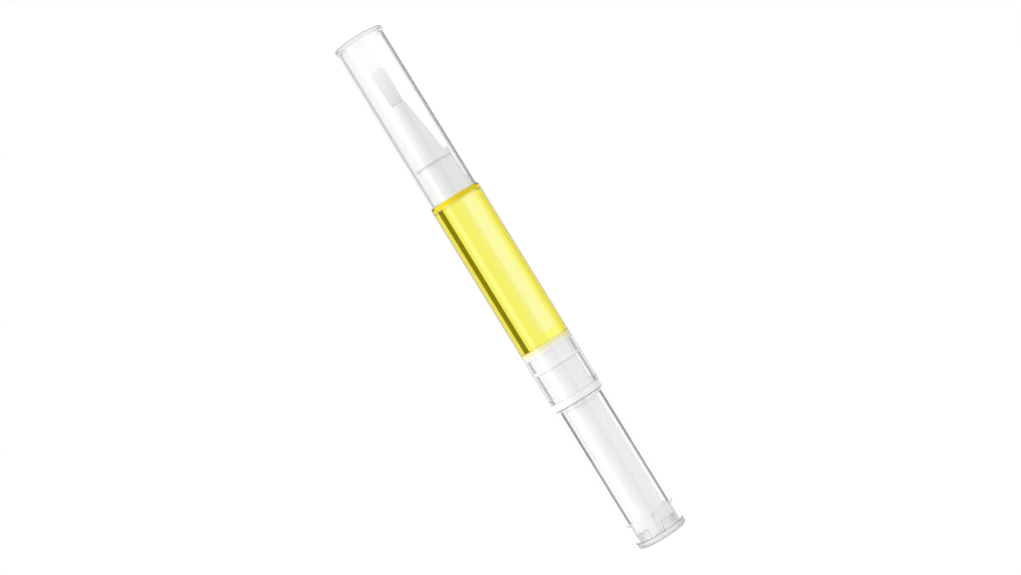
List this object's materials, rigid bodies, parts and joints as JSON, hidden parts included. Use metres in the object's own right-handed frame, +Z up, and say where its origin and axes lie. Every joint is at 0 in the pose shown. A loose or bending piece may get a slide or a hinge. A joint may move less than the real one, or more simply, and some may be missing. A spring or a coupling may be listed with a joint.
{
  "type": "twist-up nail oil pen",
  "caption": "Clear twist-up brush pen: turning the knob drives a screw and piston that push oil through a nozzle into a brush under a pull-off cap.",
  "frame": {"origin": "centre of the flat foot under the knob's end plug, on the pen's axis", "axes": "+Z up the pen's axis, from the knob's foot to the cap's closed end; X and Y across it"},
  "size_m": [0.012, 0.012, 0.127],
  "materials": {
    "clear_barrel": "gloss",
    "white_nozzle": "satin",
    "bristle": "satin",
    "clear_tube": "gloss",
    "oil": "gloss",
    "white_ring": "satin",
    "white_piston": "satin",
    "white_rod": "satin",
    "clear_knob": "gloss",
    "milky_sleeve": "satin",
    "clear_plug": "gloss",
    "clear_cap": "gloss"
  },
  "bodies": {
    "barrel": {"barrel": "clear_barrel", "nozzle": "white_nozzle", "bristles": "bristle", "feed_tube": "clear_tube", "oil": "oil", "guide_nut": "white_ring"},
    "knob": {"knob_shell": "clear_knob", "drive_sleeve": "milky_sleeve", "end_plug": "clear_plug"},
    "screw": {"screw_rod": "white_rod"},
    "piston": {"piston": "white_piston"},
    "cap": {"cap": "clear_cap"}
  },
  "joints": [
    {"name": "knob_twist", "type": "hinge", "parent": "barrel", "child": "knob", "pos_m": [0, 0, 0.02], "axis": [0, 0, 1], "range_deg": [0, 4680], "deforming": ["oil"]},
    {"name": "screw_climb", "type": "slide", "parent": "knob", "child": "screw", "axis": [0, 0, 1], "range_m": [0, 0.0326]},
    {"name": "piston_rise", "type": "slide", "parent": "barrel", "child": "piston", "axis": [0, 0, 1], "range_m": [0, 0.0326]},
    {"name": "cap_pull", "type": "slide", "parent": "barrel", "child": "cap", "axis": [0, 0, 1], "range_m": [0, 0.045]}
  ],
  "couplings": [
    {"joint": "screw_climb", "follows": "knob_twist", "m_per_rad": 0.00039789},
    {"joint": "piston_rise", "follows": "knob_twist", "m_per_rad": 0.00039789}
  ]
}
